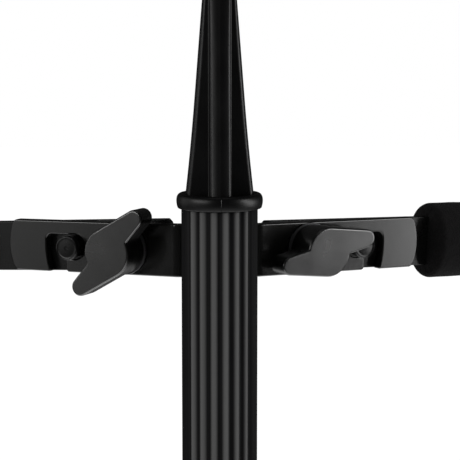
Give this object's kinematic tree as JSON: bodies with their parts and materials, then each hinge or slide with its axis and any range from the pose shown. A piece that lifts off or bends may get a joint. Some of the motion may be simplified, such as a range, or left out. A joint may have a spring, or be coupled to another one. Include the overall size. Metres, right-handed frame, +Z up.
{
  "type": "folding cello stand",
  "caption": "Folding tripod stand with a fluted column, a ribbed top peg, two padded V arms held by wing knobs, and an end pin rest.",
  "frame": {"origin": "on the floor, at the middle of the bounding box", "axes": "+Z up along the column, +Y towards the player, into the V of the arms; the wing knobs face -Y"},
  "size_m": [0.5876, 0.5128, 0.712],
  "materials": {
    "column_paint": "satin black",
    "steel_paint": "satin black",
    "peg_plastic": "fine black",
    "knob_plastic": "satin black",
    "hub_plastic": "fine black",
    "foam": "matte closed-cell foam",
    "foot_rubber": "matte",
    "black_steel": "black zinc",
    "brass": "plain"
  },
  "bodies": {
    "stand": {"column": "column_paint", "top_peg": "peg_plastic", "v_bracket": "steel_paint", "bracket_screw_1": "black_steel", "bracket_screw_2": "black_steel", "bracket_nut_plate": "black_steel", "right_bolt": "black_steel", "right_rear_washer": "black_steel", "right_front_washer": "black_steel", "left_bolt": "black_steel", "left_rear_washer": "black_steel", "left_front_washer": "black_steel", "lower_hub": "hub_plastic", "hub_screw": "black_steel", "rear_strut_pin": "black_steel", "right_strut_pin": "black_steel", "left_strut_pin": "black_steel", "rest_pin": "black_steel"},
    "slider": {"slider_hub": "hub_plastic", "clamp_pad": "brass", "rear_leg_pin": "black_steel", "right_leg_pin": "black_steel", "left_leg_pin": "black_steel"},
    "clamp": {"clamp_knob": "knob_plastic", "clamp_knob_insert": "brass", "clamp_stud": "black_steel"},
    "rear_leg": {"rear_leg_tube": "steel_paint", "rear_leg_knuckle": "hub_plastic", "rear_leg_foot": "foot_rubber"},
    "rear_strut_link": {"rear_strut": "steel_paint", "rear_strut_rivet_right": "black_steel", "rear_strut_rivet_left": "black_steel"},
    "right_leg": {"right_leg_tube": "steel_paint", "right_leg_knuckle": "hub_plastic", "right_leg_foot": "foot_rubber"},
    "right_strut_link": {"right_strut": "steel_paint", "right_strut_rivet_right": "black_steel", "right_strut_rivet_left": "black_steel"},
    "left_leg": {"left_leg_tube": "steel_paint", "left_leg_knuckle": "hub_plastic", "left_leg_foot": "foot_rubber"},
    "left_strut_link": {"left_strut": "steel_paint", "left_strut_rivet_right": "black_steel", "left_strut_rivet_left": "black_steel"},
    "right_arm": {"right_arm_bar": "steel_paint", "right_arm_pin": "black_steel", "right_foam_sleeve": "foam", "right_arm_cap": "hub_plastic"},
    "right_arm_clamp": {"right_arm_knob": "knob_plastic", "right_arm_knob_insert": "brass"},
    "left_arm": {"left_arm_bar": "steel_paint", "left_arm_pin": "black_steel", "left_foam_sleeve": "foam", "left_arm_cap": "hub_plastic"},
    "left_arm_clamp": {"left_arm_knob": "knob_plastic", "left_arm_knob_insert": "brass"},
    "end_pin_rest": {"rest_arm": "steel_paint", "rest_cup": "foot_rubber"}
  },
  "joints": [
    {"name": "leg_slide", "type": "slide", "parent": "stand", "child": "slider", "axis": [0, 0, 1], "range_m": [0, 0.10643]},
    {"name": "rear_leg_fold", "type": "hinge", "parent": "slider", "child": "rear_leg", "pos_m": [0, 0.04517, 0.25284], "axis": [1, 0, 0], "range_deg": [0, 46]},
    {"name": "rear_strut_fold", "type": "hinge", "parent": "stand", "child": "rear_strut_link", "pos_m": [0, 0.04517, 0.06], "axis": [-1, 0, 0], "range_deg": [0, 46]},
    {"name": "right_leg_fold", "type": "hinge", "parent": "slider", "child": "right_leg", "pos_m": [0.03074, 0.09842, 0.25284], "axis": [-0.5, 0.866, 0], "range_deg": [0, 46]},
    {"name": "right_strut_fold", "type": "hinge", "parent": "stand", "child": "right_strut_link", "pos_m": [0.03074, 0.09842, 0.06], "axis": [0.5, -0.866, 0], "range_deg": [0, 46]},
    {"name": "left_leg_fold", "type": "hinge", "parent": "slider", "child": "left_leg", "pos_m": [-0.03074, 0.09842, 0.25284], "axis": [-0.5, -0.866, 0], "range_deg": [0, 46]},
    {"name": "left_strut_fold", "type": "hinge", "parent": "stand", "child": "left_strut_link", "pos_m": [-0.03074, 0.09842, 0.06], "axis": [0.5, 0.866, 0], "range_deg": [0, 46]},
    {"name": "clamp_turn", "type": "hinge", "parent": "slider", "child": "clamp", "pos_m": [0.02711, 0.06502, 0.25184], "axis": [0.866, -0.5, 0], "range_deg": [0, 360]},
    {"name": "right_arm_pull", "type": "slide", "parent": "stand", "child": "right_arm", "axis": [0.8785, 0.477, -0.0279], "range_m": [0, 0.0093]},
    {"name": "right_arm_knob_turn", "type": "hinge", "parent": "stand", "child": "right_arm_clamp", "pos_m": [0.04492, 0.1097, 0.55708], "axis": [0.4772, -0.8788, 0], "range_deg": [0, 360]},
    {"name": "left_arm_pull", "type": "slide", "parent": "stand", "child": "left_arm", "axis": [-0.8785, 0.477, -0.0279], "range_m": [0, 0.0093]},
    {"name": "left_arm_knob_turn", "type": "hinge", "parent": "stand", "child": "left_arm_clamp", "pos_m": [-0.04492, 0.1097, 0.55708], "axis": [-0.4772, -0.8788, 0], "range_deg": [0, 360]},
    {"name": "rest_fold", "type": "hinge", "parent": "stand", "child": "end_pin_rest", "pos_m": [0, 0.11667, 0.0413], "axis": [1, 0, 0], "range_deg": [0, 88]}
  ],
  "couplings": [
    {"joint": "rear_leg_fold", "follows": "leg_slide", "rad_per_m": 7.5425},
    {"joint": "rear_strut_fold", "follows": "leg_slide", "rad_per_m": 7.5425},
    {"joint": "right_leg_fold", "follows": "leg_slide", "rad_per_m": 7.5425},
    {"joint": "right_strut_fold", "follows": "leg_slide", "rad_per_m": 7.5425},
    {"joint": "left_leg_fold", "follows": "leg_slide", "rad_per_m": 7.5425},
    {"joint": "left_strut_fold", "follows": "leg_slide", "rad_per_m": 7.5425}
  ]
}
